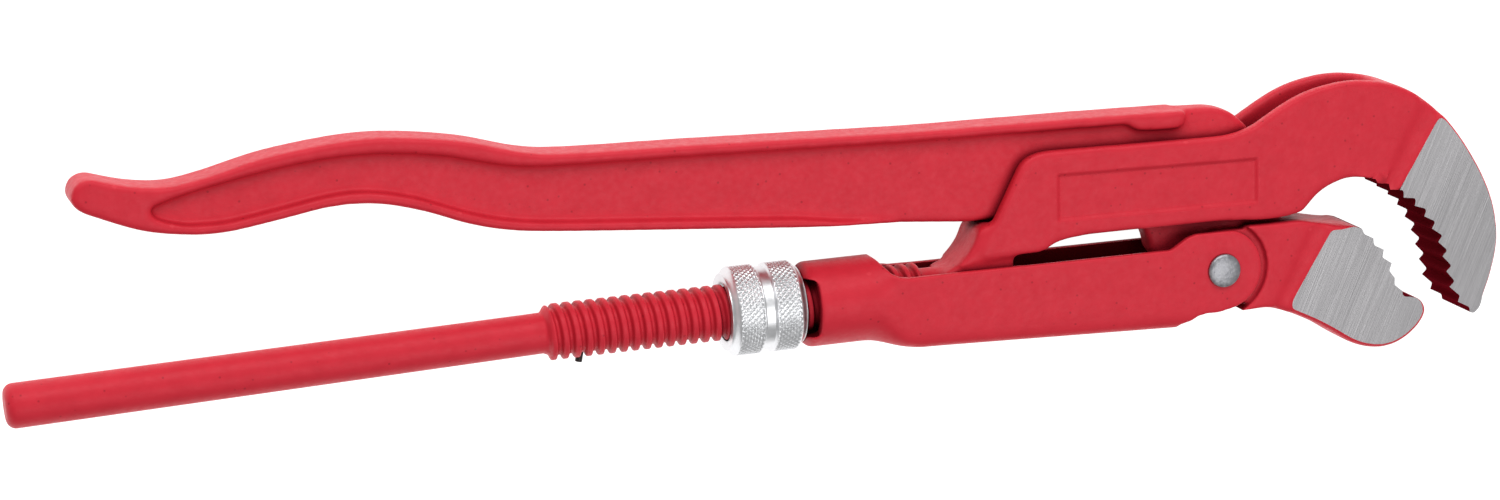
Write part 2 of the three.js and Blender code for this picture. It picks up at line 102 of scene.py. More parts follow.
def bake_modifiers(obj):
    """Replaces the object's mesh by what its modifiers make of it."""
    graph = bpy.context.evaluated_depsgraph_get()
    made = bpy.data.meshes.new_from_object(obj.evaluated_get(graph))
    obj.modifiers.clear()
    obj.data = made


def coordinates(mesh):
    points = np.zeros(len(mesh.vertices) * 3)
    mesh.vertices.foreach_get("co", points)
    return points.reshape(-1, 3)


def face_vectors(mesh, what):
    """The center or the normal of every face."""
    values = np.zeros(len(mesh.polygons) * 3)
    mesh.polygons.foreach_get(what, values)
    return values.reshape(-1, 3)


def set_coordinates(mesh, points):
    mesh.vertices.foreach_set("co", points.ravel())
    mesh.update()


def cad_copy(node, name):
    """A copy of a CAD node on the wrench's own lines, with its vertices joined."""
    mesh = frame["nodes"][node].data.copy()
    mesh.name = name
    mesh.materials.clear()
    mesh.transform(TO_WRENCH)
    work = bmesh.new()
    work.from_mesh(mesh)
    bmesh.ops.remove_doubles(work, verts=work.verts, dist=JOIN_DISTANCE)
    work.to_mesh(mesh)
    work.free()
    return new_object(name, mesh)


def cut_off_below_x(obj, x):
    """Takes away what lies below x, and closes the cut."""
    work = bmesh.new()
    work.from_mesh(obj.data)
    everything = work.verts[:] + work.edges[:] + work.faces[:]
    across = {"plane_co": (x, 0, 0), "plane_no": (1, 0, 0)}
    cut = bmesh.ops.bisect_plane(work, geom=everything, clear_inner=True, **across)
    edges = [e for e in cut["geom_cut"] if isinstance(e, bmesh.types.BMEdge)]
    bmesh.ops.holes_fill(work, edges=edges)
    work.to_mesh(obj.data)
    work.free()


def remesh(obj, voxel):
    modifier = obj.modifiers.new("remesh", "REMESH")
    modifier.mode = "VOXEL"
    modifier.voxel_size = voxel
    bake_modifiers(obj)


def smooth(obj, rounds, weight):
    """Rounds a mesh off; weight gives each point's share, from 0, kept sharp, to 1."""
    mesh = obj.data
    points = coordinates(mesh)
    pairs = np.zeros(len(mesh.edges) * 2, int)
    mesh.edges.foreach_get("vertices", pairs)
    a, b = pairs.reshape(-1, 2).T
    count = len(points)
    neighbours = np.bincount(a, minlength=count) + np.bincount(b, minlength=count)
    share = (0.5 * weight(points))[:, None]
    for _ in range(rounds):
        mean = np.empty_like(points)
        for k in range(3):
            total = np.bincount(a, points[b, k], count) + np.bincount(b, points[a, k], count)
            mean[:, k] = total / neighbours
        points += share * (mean - points)
    set_coordinates(mesh, points)


def boolean(obj, other, operation):
    modifier = obj.modifiers.new("boolean", "BOOLEAN")
    modifier.operation = operation
    modifier.solver = "MANIFOLD"
    modifier.object = other
    bake_modifiers(obj)
    bpy.data.objects.remove(other)


def distance_to_line(points, line):
    """The distance in X and Y from each point to a line of straight stretches."""
    nearest = np.full(len(points), np.inf)
    for (x0, y0), (x1, y1) in zip(line, line[1:]):
        start = np.array((x0, y0))
        along = np.array((x1 - x0, y1 - y0))
        offset = points[:, :2] - start
        t = np.clip(offset @ along / (along @ along), 0, 1)[:, None]
        nearest = np.minimum(nearest, np.linalg.norm(offset - t * along, axis=1))
    return nearest


def beyond(points, line):
    """Which points lie on the jaw's side of a line across it."""
    (x0, y0), (x1, y1) = line
    return (points[:, 0] - x0) * (y1 - y0) - (points[:, 1] - y0) * (x1 - x0) > 0


def smoothstep(value, low, high):
    t = np.clip((value - low) / (high - low), 0, 1)
    return t * t * (3 - 2 * t)


def offset_line(line, distance):
    """The line moved sideways, to its left for a positive distance."""
    points = np.array(line, float)
    along = np.gradient(points, axis=0)
    along /= np.linalg.norm(along, axis=1)[:, None]
    return [tuple(p) for p in points + distance * np.stack((-along[:, 1], along[:, 0]), axis=1)]


def prism(outline, low, high):
    """A flat outline in X and Y made into a solid from z = low to z = high."""
    area = sum(x0 * y1 - x1 * y0 for (x0, y0), (x1, y1) in zip(outline, outline[1:] + outline[:1]))
    ring = outline if area > 0 else outline[::-1]
    count = len(ring)
    points = [(x, y, z) for z in (low, high) for x, y in ring]
    faces = [tuple(reversed(range(count))), tuple(range(count, 2 * count))]
    faces += [(i, (i + 1) % count, count + (i + 1) % count, count + i) for i in range(count)]
    mesh = mesh_of("prism", points, faces)
    work = bmesh.new()
    work.from_mesh(mesh)
    bmesh.ops.triangulate(work, faces=work.faces)
    work.to_mesh(mesh)
    work.free()
    return mesh


def grid_faces(rows, columns, close_rows=False):
    """Quads between rows of points that each close on themselves."""
    faces = []
    for row in range(rows if close_rows else rows - 1):
        below = (row + 1) % rows
        for column in range(columns):
            right = (column + 1) % columns
            here, there = row * columns, below * columns
            faces.append((here + column, here + right, there + right, there + column))
    return faces


def capped_faces(rows, columns):
    """The quads between open rows, with a flat face at each end."""
    faces = grid_faces(rows, columns)
    faces.append(tuple(reversed(range(columns))))
    faces.append(tuple(range((rows - 1) * columns, rows * columns)))
    return faces


def turn_angles(columns):
    return np.arange(columns) * 2 * math.pi / columns


def arc(center, radius, first, last, steps):
    angles = [math.radians(first + (last - first) * i / steps) for i in range(steps + 1)]
    return [(center[0] + radius * math.cos(t), center[1] + radius * math.sin(t)) for t in angles]


# ---- Materials ----

GRINDING_TURN = math.radians(-65)


def socket(shader, **values):
    for name, value in values.items():
        shader.inputs[name.replace("_", " ")].default_value = value


class Surface:
    """A material under construction: its shader, its nodes and the place on the object its patterns use."""

    def __init__(self, name):
        self.material = bpy.data.materials.new(name)
        self.material.use_nodes = True
        self.tree = self.material.node_tree
        self.shader = self.tree.nodes["Principled BSDF"]
        self.place = self.node("ShaderNodeTexCoord").outputs["Object"]

    def node(self, kind, **inputs):
        made = self.tree.nodes.new(kind)
        for name, value in inputs.items():
            self.give(made.inputs[name.replace("_", " ")], value)
        return made

    def give(self, target, value):
        if isinstance(value, bpy.types.NodeSocket):
            self.tree.links.new(value, target)
        else:
            target.default_value = value

    def stretched(self, turn, scale):
        """The place turned about Z and then scaled, so that a pattern runs along a slanted line."""
        turned = self.node("ShaderNodeMapping", Vector=self.place, Rotation=(0, 0, turn)).outputs["Vector"]
        return self.node("ShaderNodeMapping", Vector=turned, Scale=scale).outputs["Vector"]

    def finish(self, colour, roughness, normal):
        self.give(self.shader.inputs["Base Color"], colour)
        self.give(self.shader.inputs["Roughness"], roughness)
        self.give(self.shader.inputs["Normal"], normal)
        return self.material

    def noise(self, scale, detail=2.0, place=None):
        made = self.node("ShaderNodeTexNoise", Vector=place or self.place, Scale=scale, Detail=detail)
        return made.outputs["Fac"]

    def ramp(self, value, low, high, start, end):
        """From low to high as the value goes from start to end."""
        made = self.node("ShaderNodeMapRange", Value=value, From_Min=start, From_Max=end)
        self.give(made.inputs["To Min"], low)
        self.give(made.inputs["To Max"], high)
        return made.outputs["Result"]

    def mix(self, share, first, second):
        made = self.tree.nodes.new("ShaderNodeMix")
        made.data_type = "RGBA"
        self.give(made.inputs["Factor"], share)
        self.give(made.inputs[6], first)
        self.give(made.inputs[7], second)
        return made.outputs[2]

    def bump(self, height, distance, below=None):
        made = self.node("ShaderNodeBump", Height=height, Distance=distance)
        if below:
            self.give(made.inputs["Normal"], below)
        return made.outputs["Normal"]


def red_paint(name, shade):
    """Satin paint: orange peel, mottling, a few dust specks, a painted highlight on ridges and painted
    shade in creases and closed-in places.

    shade is how much darker the paint is everywhere, from 0 to 1: painted shade, for a shaded copy of the
    paint.
    """
    s = Surface(name)
    socket(s.shader, Specular_Tint=(1, 0.62, 0.66, 1))
    mottling = s.ramp(s.noise(220, 4), 0, 1, 0.3, 0.7)
    colour = s.mix(mottling, (0.605, 0.018, 0.035, 1), (0.655, 0.022, 0.041, 1))
    ridge = s.node("ShaderNodeNewGeometry").outputs["Pointiness"]
    # Painted highlight: the paint is lighter on ridges, where the pointiness is high.
    colour = s.mix(s.ramp(ridge, 0, 0.45, 0.52, 0.62), colour, (0.74, 0.05, 0.07, 1))
    # Painted shade: the paint is darker in creases, where the pointiness is low.
    colour = s.mix(s.ramp(ridge, 0.55, 0, 0.38, 0.48), colour, (0.27, 0.006, 0.014, 1))
    specks = s.node("ShaderNodeTexVoronoi", Vector=s.place, Scale=260.0).outputs["Distance"]
    colour = s.mix(s.ramp(specks, 0.5, 0, 0.05, 0.11), colour, (0.22, 0.005, 0.01, 1))
    # Painted shade: the paint turns a near-black red in closed-in places, found by ambient occlusion, and
    # its gloss drops there.
    closed_in = s.node("ShaderNodeAmbientOcclusion", Distance=0.016)
    closed_in.samples = 8
    painted_shade = s.ramp(closed_in.outputs["AO"], 0.96, shade, 0.16, 0.7)
    colour = s.mix(painted_shade, colour, (0.06, 0.001, 0.004, 1))
    gloss = s.ramp(closed_in.outputs["AO"], 0, 0.34 - 0.4 * shade, 0.2, 0.75)
    s.give(s.shader.inputs["Specular IOR Level"], gloss)
    roughness = s.ramp(s.noise(600, 3), 0.4, 0.55, 0.3, 0.7)
    peel = s.bump(s.noise(900, 3), 0.00006)
    return s.finish(colour, roughness, s.bump(s.noise(170, 2), 0.0001, peel))


def ground_steel():
    """Bare steel with the straight marks of the grinding belt across the jaw."""
    s = Surface("ground_steel")
    socket(s.shader, Metallic=1.0, Anisotropic=0.4)
    fine = s.noise(1.0, 3, s.stretched(GRINDING_TURN, (70, 4200, 70)))
    broad = s.noise(1.0, 2, s.stretched(GRINDING_TURN, (25, 800, 25)))
    colour = s.mix(s.ramp(fine, 0, 1, 0.3, 0.7), (0.30, 0.293, 0.30, 1), (0.375, 0.366, 0.375, 1))
    return s.finish(colour, s.ramp(broad, 0.38, 0.46, 0.3, 0.7), s.bump(fine, 0.00003))


def chrome():
    """Bright plating over turned and knurled steel."""
    s = Surface("chrome")
    socket(s.shader, Metallic=1.0)
    haze = s.noise(700, 4)
    colour = s.mix(haze, (0.72, 0.73, 0.745, 1), (0.84, 0.84, 0.855, 1))
    turning_marks = s.noise(1.0, 2, s.stretched(0, (4500, 60, 60)))
    return s.finish(colour, s.ramp(haze, 0.3, 0.42, 0.3, 0.7), s.bump(turning_marks, 0.00001))


def rivet_steel():
    """Zinc-grey rivet with the small dents of the peening."""
    s = Surface("rivet_steel")
    socket(s.shader, Metallic=0.85)
    dents = s.noise(800, 4)
    colour = s.mix(s.ramp(dents, 0, 1, 0.3, 0.7), (0.24, 0.24, 0.26, 1), (0.40, 0.40, 0.42, 1))
    return s.finish(colour, s.ramp(dents, 0.34, 0.5, 0.3, 0.7), s.bump(dents, 0.00012))


def dark_steel():
    """Oil-blackened pin."""
    s = Surface("dark_steel")
    socket(s.shader, Metallic=0.6)
    stain = s.noise(1500, 3)
    colour = s.mix(stain, (0.012, 0.010, 0.010, 1), (0.05, 0.035, 0.035, 1))
    return s.finish(colour, s.ramp(stain, 0.35, 0.6, 0.3, 0.7), s.bump(stain, 0.00004))


RED = red_paint("red_paint", 0.0)
# A darker copy of the paint, painted shade, for the sleeve's inward faces and the teeth's flanks.
RED_SHADED = red_paint("red_paint_shaded", 0.85)
STEEL = ground_steel()
CHROME = chrome()
RIVET = rivet_steel()
DARK = dark_steel()


def finish_piece(obj, body, node, slot, *materials):
    """Puts a piece into the frame, with its body, node and materials; steel is shaded flat. The slot is not
    used.
    """
    mesh = obj.data
    mesh.transform(TO_FRAME)
    kept = np.zeros(len(mesh.polygons), np.int32)
    mesh.polygons.foreach_get("material_index", kept)
    mesh.materials.clear()
    for material in materials:
        mesh.materials.append(material)
    mesh.polygons.foreach_set("material_index", np.minimum(kept, len(materials) - 1))
    mesh.shade_smooth()
    mesh.set_sharp_from_angle(angle=SHARP)
    if STEEL in materials:
        mesh.polygons.foreach_set("use_smooth", kept != materials.index(STEEL))
    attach(obj, body)
    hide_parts(node)


# ---- Forgings: rounded like a drop forging, then ground flat on the jaws' sides ----

FORGE_VOXEL = 0.45
HEAD_HALF = 9.0
GROUND_ALLOWANCE = 0.5
GRIND_FROM_X = 190
CUT_MARGIN = 5

HOOK_TOOTH_LINE = [
    (237, 19),
    (247.6, 14.1),
    (254, 8),
    (258.3, 0.3),
    (260.8, -8.1),
    (262.8, -16.4),
    (266.4, -22),
]
HEEL_TOOTH_LINE = [(247, -16), (243, -11.6), (239.9, -4.2), (234, 4)]
HOOK_GROUND_LINE = ((240.7, 12.5), (256, 41.5))
HEEL_GROUND_LINE = ((208.5, -16), (221.5, 9))
TOOTH_BLOCK_INSIDE = 2.5
TOOTH_BLOCK_OUTSIDE = 4.0
TOOTH_REACH = 2.4
TOOTH_ROUNDNESS = 0.08
EYE_ROUNDNESS = 0.25

HOOK_ROUNDS = 34
HOOK_RIM_ROUNDS = 16
HEEL_ROUNDS = 30
HEEL_RIM_ROUNDS = 60

PANEL = [(143.6, 17), (202.2, 16), (202.4, 28.2), (143.9, 29.6)]
PANEL_DEPTH = 0.7
CAD_PANEL_DEPTH = 0.4
PANEL_END_X = 210

THREAD_CREST = 7.6
THREAD_ROOT = 6.35
THREAD_PITCH = 3.25
THREAD_END = 106.0
HANDLE_LENGTH = 144.0
HANDLE_RADIUS = 5.5
HANDLE_END_RADIUS = 5.95
HANDLE_END_ROUND = 2.6
HANDLE_BEND = math.radians(1.3)
SHANK_RADIUS = 5.8
SHANK_END = 112
SHANK_TIP_RADIUS = 3.0

FLANGE_HALF = 7.0
HANDLE_WEB_HALF = 4.0
FADE_START_X = 82
FADE_END_X = 100


def lift_ground(obj, line):
    """Leaves an allowance on the jaw's sides, for the grinding to take away."""
    points = coordinates(obj.data)
    side = beyond(points, line) & (np.abs(points[:, 2]) > HEAD_HALF - 0.1)
    points[side, 2] += np.sign(points[side, 2]) * GROUND_ALLOWANCE
    set_coordinates(obj.data, points)


def grind(obj):
    """Takes the allowance off flat on both sides, with a block that reaches past the jaw all round."""
    points = coordinates(obj.data)
    right = points[:, 0].max() + CUT_MARGIN
    below = points[:, 1].min() - CUT_MARGIN
    above = points[:, 1].max() + CUT_MARGIN
    around = ((GRIND_FROM_X, below), (right, below), (right, above), (GRIND_FROM_X, above))
    for sign in (-1, 1):
        near = HEAD_HALF * sign
        far = (HEAD_HALF + CUT_MARGIN) * sign
        corners = [(x, y, z) for z in sorted((near, far)) for x, y in around]
        faces = [(3, 2, 1, 0), (4, 5, 6, 7), (0, 1, 5, 4), (1, 2, 6, 5), (2, 3, 7, 6), (3, 0, 4, 7)]
        boolean(obj, new_object("stone", mesh_of("stone", corners, faces)), "DIFFERENCE")


def mark_faces(obj, line, tooth_line):
    """Gives the flat ground faces the second material, and the flanks of the teeth the third, a darker copy
    of the paint that is painted shade.
    """
    mesh = obj.data
    centres = face_vectors(mesh, "center")
    facing = np.abs(face_vectors(mesh, "normal")[:, 2])
    ground = (facing > 0.9999) & (np.abs(centres[:, 2]) > HEAD_HALF - 0.001) & beyond(centres, line)
    # Painted shade: the teeth's flanks take the darker copy of the paint.
    flank = (facing < 0.5) & (distance_to_line(centres, tooth_line) < TOOTH_REACH)
    mesh.polygons.foreach_set("material_index", ground + 2 * flank.astype(np.int32))


def extended(line):
    """A straight line across a jaw, made longer at both ends."""
    (x0, y0), (x1, y1) = line
    return [(x0 + x0 - x1, y0 + y0 - y1), (x1 + x1 - x0, y1 + y1 - y0)]


def rim_share(points, ground_line, tooth_line):
    """Where a jaw's outer rim is rounded further: away from its teeth and from the ground step."""
    step = smoothstep(distance_to_line(points, extended(ground_line)), 2.5, 5.0)
    teeth = smoothstep(distance_to_line(points, tooth_line), 4.0, 7.0)
    return beyond(points, ground_line) * step * teeth


def tooth_block(whole, line):
    """The crisp metal along a line of teeth, to join to the rounded forging."""
    towards = TOOTH_BLOCK_INSIDE if line is HOOK_TOOTH_LINE else -TOOTH_BLOCK_INSIDE
    away = -TOOTH_BLOCK_OUTSIDE if line is HOOK_TOOTH_LINE else TOOTH_BLOCK_OUTSIDE
    outline = offset_line(line, towards) + offset_line(line, away)[::-1]
    block = new_object("tooth_block", whole.data.copy())
    around = prism(outline, -HEAD_HALF - CUT_MARGIN, HEAD_HALF + CUT_MARGIN)
    boolean(block, new_object("around_teeth", around), "INTERSECT")
    return block


def set_panel(obj):
    """Sinks the blank name panel into both cheeks, with a crisp edge."""
    points = coordinates(obj.data)
    depth = np.full(len(points), np.inf)
    for (x0, y0), (x1, y1) in zip(PANEL, PANEL[1:] + PANEL[:1]):
        length = math.hypot(x1 - x0, y1 - y0)
        inside = ((points[:, 1] - y0) * (x1 - x0) - (points[:, 0] - x0) * (y1 - y0)) / length
        depth = np.minimum(depth, inside)
    sunk = PANEL_DEPTH * smoothstep(depth, -0.3, 0.4)
    outer = np.abs(points[:, 2]) > 6.5
    points[outer, 2] -= np.sign(points[outer, 2]) * sunk[outer]
    set_coordinates(obj.data, points)


def fill_panel(obj):
    """Brings the CAD panel's floor back out to the cheek's face."""
    points = coordinates(obj.data)
    floor_points = np.abs(np.abs(points[:, 2]) - (HEAD_HALF - CAD_PANEL_DEPTH)) < 0.05
    floor_points &= points[:, 0] < PANEL_END_X
    points[floor_points, 2] = np.sign(points[floor_points, 2]) * HEAD_HALF
    set_coordinates(obj.data, points)


def hook_arm():
    arm = cad_copy("hook_arm", "hook_arm_forging")
    cut_off_below_x(arm, THREAD_END + 1)
    lift_ground(arm, HOOK_GROUND_LINE)
    teeth = tooth_block(arm, HOOK_TOOTH_LINE)
    fill_panel(arm)
    remesh(arm, FORGE_VOXEL)

    def roundness(points):
        away = smoothstep(distance_to_line(points, HOOK_TOOTH_LINE), 3.0, 6.0)
        return TOOTH_ROUNDNESS + (1 - TOOTH_ROUNDNESS) * away

    smooth(arm, HOOK_ROUNDS, roundness)
    smooth(arm, HOOK_RIM_ROUNDS, lambda points: rim_share(points, HOOK_GROUND_LINE, HOOK_TOOTH_LINE))
    set_panel(arm)
    boolean(arm, teeth, "UNION")
    grind(arm)
    boolean(arm, rod(), "UNION")
    mark_faces(arm, HOOK_GROUND_LINE, HOOK_TOOTH_LINE)
    finish_piece(arm, "hook_arm", "hook_arm", "red_paint", RED, STEEL, RED_SHADED)


def rod_radius(x, angles):
    """The rod's radius round the section at x: handle with a rounded end, thread, shank."""
    phase = (x / THREAD_PITCH - angles / (2 * math.pi)) * 2 * math.pi
    wave = smoothstep(0.5 + 0.5 * np.cos(phase), 0.04, 0.8)
    thread = THREAD_ROOT + (THREAD_CREST - THREAD_ROOT) * wave
    amount = smoothstep(x, -1.2, 1.0) * (1 - smoothstep(x, THREAD_END - 2, THREAD_END + 0.5))
    plain = SHANK_RADIUS
    if x < THREAD_END / 2:
        along = np.clip((x + HANDLE_LENGTH) / HANDLE_LENGTH, 0, 1)
        plain = HANDLE_END_RADIUS + (HANDLE_RADIUS - HANDLE_END_RADIUS) * along
        inset = max(0.0, HANDLE_END_ROUND - (x + HANDLE_LENGTH))
        plain += math.sqrt(max(0.0, HANDLE_END_ROUND**2 - inset**2)) - HANDLE_END_ROUND
    if x > SHANK_END:
        plain = SHANK_TIP_RADIUS
    return plain + (thread - plain) * amount


def rod():
    """Round handle, rolled thread and shank as one turned bar, bent a little where the handle starts."""
    columns = 72
    end_steps = 8
    end_angles = [step * math.pi / 2 / end_steps for step in range(end_steps + 1)]
    rows = [-HANDLE_LENGTH + HANDLE_END_ROUND * (1 - math.cos(angle)) for angle in end_angles]
    rows += list(np.linspace(-HANDLE_LENGTH + 5, -4, 60))
    rows += list(np.arange(-3.5, THREAD_END + 1, THREAD_PITCH / 14))
    rows += [THREAD_END + 2, 110, SHANK_END, SHANK_END + 3, SHANK_END + 4]
    angles = turn_angles(columns)
    points = []
    for x in rows:
        radius = rod_radius(x, angles)
        bend = HANDLE_BEND * (1 - smoothstep(x, -4, 0))
        reach = radius * np.cos(angles)
        along = x * math.cos(bend) - reach * math.sin(bend)
        across = x * math.sin(bend) + reach * math.cos(bend)
        points += list(zip(along, across, radius * np.sin(angles)))
    return new_object("rod", mesh_of("rod", points, capped_faces(len(rows), columns)))


def fade_flange(obj):
    """Lets the handle's lower flange run out into its web by growing narrower, with no thin edge left."""
    strip = [(80, 21.45), (100, 19.92), (101, 19.82), (101, 21.3), (80, 22.9)]
    boolean(obj, new_object("strip", prism(strip, -FLANGE_HALF, FLANGE_HALF)), "UNION")
    for sign in (-1, 1):
        side = [(FADE_START_X, sign * FLANGE_HALF), (FADE_END_X, sign * HANDLE_WEB_HALF)]
        side += [(FADE_END_X + 3, sign * HANDLE_WEB_HALF), (FADE_END_X + 3, sign * HEAD_HALF)]
        side.append((FADE_START_X, sign * HEAD_HALF))
        wedge = prism(side, -30, -16)
        wedge.transform(Matrix.Rotation(math.radians(90), 4, "X"))
        boolean(obj, new_object("wedge", wedge), "DIFFERENCE")


def heel_arm():
    arm = cad_copy("heel_arm", "heel_arm_forging")
    lift_ground(arm, HEEL_GROUND_LINE)
    teeth = tooth_block(arm, HEEL_TOOTH_LINE)
    fade_flange(arm)
    remesh(arm, FORGE_VOXEL)

    def roundness(points):
        away = smoothstep(distance_to_line(points, HEEL_TOOTH_LINE), 2.6, 5.0)
        from_pivot = np.hypot(points[:, 0] - PIVOT_X, points[:, 1] - PIVOT_Y)
        eye = EYE_ROUNDNESS + (1 - EYE_ROUNDNESS) * smoothstep(from_pivot, 14.5, 18)
        return (TOOTH_ROUNDNESS + (1 - TOOTH_ROUNDNESS) * away) * eye

    smooth(arm, HEEL_ROUNDS, roundness)
    smooth(arm, HEEL_RIM_ROUNDS, lambda points: rim_share(points, HEEL_GROUND_LINE, HEEL_TOOTH_LINE))
    boolean(arm, teeth, "UNION")
    grind(arm)
    mark_faces(arm, HEEL_GROUND_LINE, HEEL_TOOTH_LINE)
    finish_piece(arm, "heel_arm", "heel_arm", "red_paint", RED, STEEL, RED_SHADED)


# ---- Sleeve: rolled to a ring at its rear end, and a U-shaped channel with two ears from there on ----

SHEET_VOXEL = 0.4
SHEET_ROUNDS = 6
WALL = 2.2
RING_RADIUS = 11.7
RING_BORE = 8.4
RING_DROP = 0.4
RING_LIP = 2.0
CHEEK_HALF = 10.2
WEB_DROP = 12.95
ROOF_HEIGHT = 20
SLEEVE_SLOPE = math.tan(math.radians(2.3))
LOFT_MIDDLE = 102
LOFT_END = 206

# Where along x the round section turns into the channel's, for each of its measures.
WEB_BLEND = (87, 99)
CHEEK_BLEND = (84, 112)
ROOF_BLEND = (94, 101)
FALL_BLEND = (90, 104)

EAR_RADIUS = 11.4
NOTCH_LENGTH = 3.4
NOTCH_HALF = 7.7
NOTCH_CORNER = 1.2
CUTTER_END_X = 60
CUTTER_HALF = 20
PAINTED_FROM = 184
INWARD_LEAST = 3


def section_radius(angles, x, ring, half, drop):
    """How far the section at x reaches from its middle: round at the rear, then a rounded U."""
    power = 2 + 4 * smoothstep(x, *FALL_BLEND)
    across = np.abs(np.sin(angles)) / (ring + smoothstep(x, *CHEEK_BLEND) * (half - ring))
    down = np.clip(np.cos(angles), 0, None) / (ring + smoothstep(x, *WEB_BLEND) * (drop - ring))
    up = np.clip(-np.cos(angles), 0, None) / (ring + smoothstep(x, *ROOF_BLEND) * (ROOF_HEIGHT - ring))
    return 1 / ((across**power + down**power + up**power) ** (1 / power))


def rolled(start, end, ring_radius, half, drop):
    """A bar that is round at its rear and turns into a rounded U: the sleeve's outside or its inside."""
    columns = 128
    angles = turn_angles(columns)
    rows = list(np.arange(start, LOFT_MIDDLE, 0.75)) + list(np.linspace(LOFT_MIDDLE, end, 60))
    points = []
    for x in rows:
        reach = section_radius(angles, x, ring_radius(x), half, drop)
        fall = SLEEVE_SLOPE * (x - start)
        middle = -RING_DROP - fall * smoothstep(x, *FALL_BLEND)
        points += list(zip(np.full(columns, x), middle - reach * np.cos(angles), reach * np.sin(angles)))
    faces = [tuple(reversed(face)) for face in capped_faces(len(rows), columns)]
    return mesh_of("rolled", points, faces)


def side_outline():
    """The sleeve seen from its side: web and cheeks, sheared off round the ears."""
    outline = [(CUTTER_END_X, -40), (176, -40), (178.4, -16.4), (181.5, -15.6), (183.6, -14.4)]
    outline += [(186, -13.9), (189.5, -14)]
    outline += arc((PIVOT_X, PIVOT_Y), EAR_RADIUS, -76, 71, 40)
    outline += [(183.5, 8.9), (181, 8.2), (178, 6.4), (175.8, 5.2), (100, 5.9), (97, 6.3), (95, 7.3)]
    outline += [(93.4, 9.2), (92.2, 10.8), (90.5, 11.3), (CUTTER_END_X, 13)]
    return outline


def notch_outline(start):
    """The window in each side of the ring's rear end, with rounded inner corners."""
    corner_x = start + NOTCH_LENGTH - NOTCH_CORNER
    outline = [(CUTTER_END_X, -NOTCH_HALF), (corner_x, -NOTCH_HALF)]
    outline += arc((corner_x, NOTCH_CORNER - NOTCH_HALF), NOTCH_CORNER, -90, 0, 6)
    outline += arc((corner_x, NOTCH_HALF - NOTCH_CORNER), NOTCH_CORNER, 0, 90, 6)
    outline.append((CUTTER_END_X, NOTCH_HALF))
    return outline


def mark_inside(shell):
    """The faces that look inwards take the second material, a darker copy of the paint that is painted
    shade.
    """
    centres = face_vectors(shell.data, "center")
    outwards = (centres * face_vectors(shell.data, "normal"))[:, 1:].sum(1)
    inner = (outwards < -INWARD_LEAST) & (centres[:, 0] < PAINTED_FROM)
    shell.data.polygons.foreach_set("material_index", inner.astype(np.int32))


def sleeve():
    low, _ = (TO_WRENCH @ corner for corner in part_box("sleeve"))
    start = low.x + 0.05

    def outside(x):
        return RING_RADIUS - RING_LIP * (1 - smoothstep(x, start - 0.5, start + 2.2))

    def inside(x):
        return RING_BORE

    shell = new_object("sleeve_shell", rolled(start, LOFT_END, outside, CHEEK_HALF, WEB_DROP))
    hollow = rolled(start - 2, LOFT_END + 2, inside, CHEEK_HALF - WALL, WEB_DROP - WALL)
    boolean(shell, new_object("hollow", hollow), "DIFFERENCE")
    side = prism(side_outline(), -CUTTER_HALF, CUTTER_HALF)
    boolean(shell, new_object("side", side), "INTERSECT")
    notch = prism(notch_outline(start), -CUTTER_HALF, CUTTER_HALF)
    boolean(shell, new_object("notch", notch), "DIFFERENCE")
    remesh(shell, SHEET_VOXEL)
    smooth(shell, SHEET_ROUNDS, lambda points: np.ones(len(points)))
    mark_inside(shell)
    finish_piece(shell, "sleeve", "sleeve", "red_paint", RED, RED_SHADED)


# ---- Turned pieces ----

KNURLS = 48
KNURL_PITCH = 1.7
KNURL_DEPTH = 0.42
KNURL_FLAT = 0.85
NUT_RADIUS = 12.2
NUT_BORE_ROOT = 6.75
NUT_BORE_CREST = 8.0
NUT_CHAMFER = 1.7
NUT_GROOVE = 0.8
NUT_COUNTERSINK = 0.8
NUT_FACE_RADII = (10.0, 9.2, 8.4)

RIVET_HEAD_HEIGHT = 1.3
RIVET_SHANK = 3.6
RIVET_EDGE = 0.15
PIN_BEVEL = 0.22


def nut_outside(x, start, end, angles):
    """The nut's outer radius at x: chamfers, the plain groove in the middle and crossed knurling."""
    edge = min(x - start, end - x)
    from_middle = abs(x - (start + end) / 2)
    bevel = NUT_CHAMFER * (1 - smoothstep(edge, 0, 2.2))
    groove = NUT_GROOVE * (1 - smoothstep(from_middle, 1.3, 1.8))
    knurled = smoothstep(edge, 2.0, 2.4) * smoothstep(from_middle, 1.9, 2.2)
    around = angles * KNURLS / (2 * math.pi)
    along = (x - start) / KNURL_PITCH
    first = np.abs(2 * ((around + along) % 1) - 1)
    second = np.abs(2 * ((around - along) % 1) - 1)
    pyramid = np.minimum(np.minimum(1 - first, 1 - second) * 1.25, KNURL_FLAT) / KNURL_FLAT
    return NUT_RADIUS - bevel - groove - knurled * KNURL_DEPTH * (1 - pyramid)


def nut_inside(x, start, end, angles):
    """The radius of the nut's threaded hole at x, countersunk at both ends."""
    phase = (x / THREAD_PITCH - angles / (2 * math.pi)) * 2 * math.pi
    wave = smoothstep(0.5 + 0.5 * np.cos(phase), 0.05, 0.8)
    radius = NUT_BORE_ROOT + (NUT_BORE_CREST - NUT_BORE_ROOT) * wave
    countersink = NUT_COUNTERSINK * (1 - smoothstep(min(x - start, end - x), 0.3, 1.4))
    return np.maximum(radius, NUT_BORE_ROOT + countersink * 1.5)


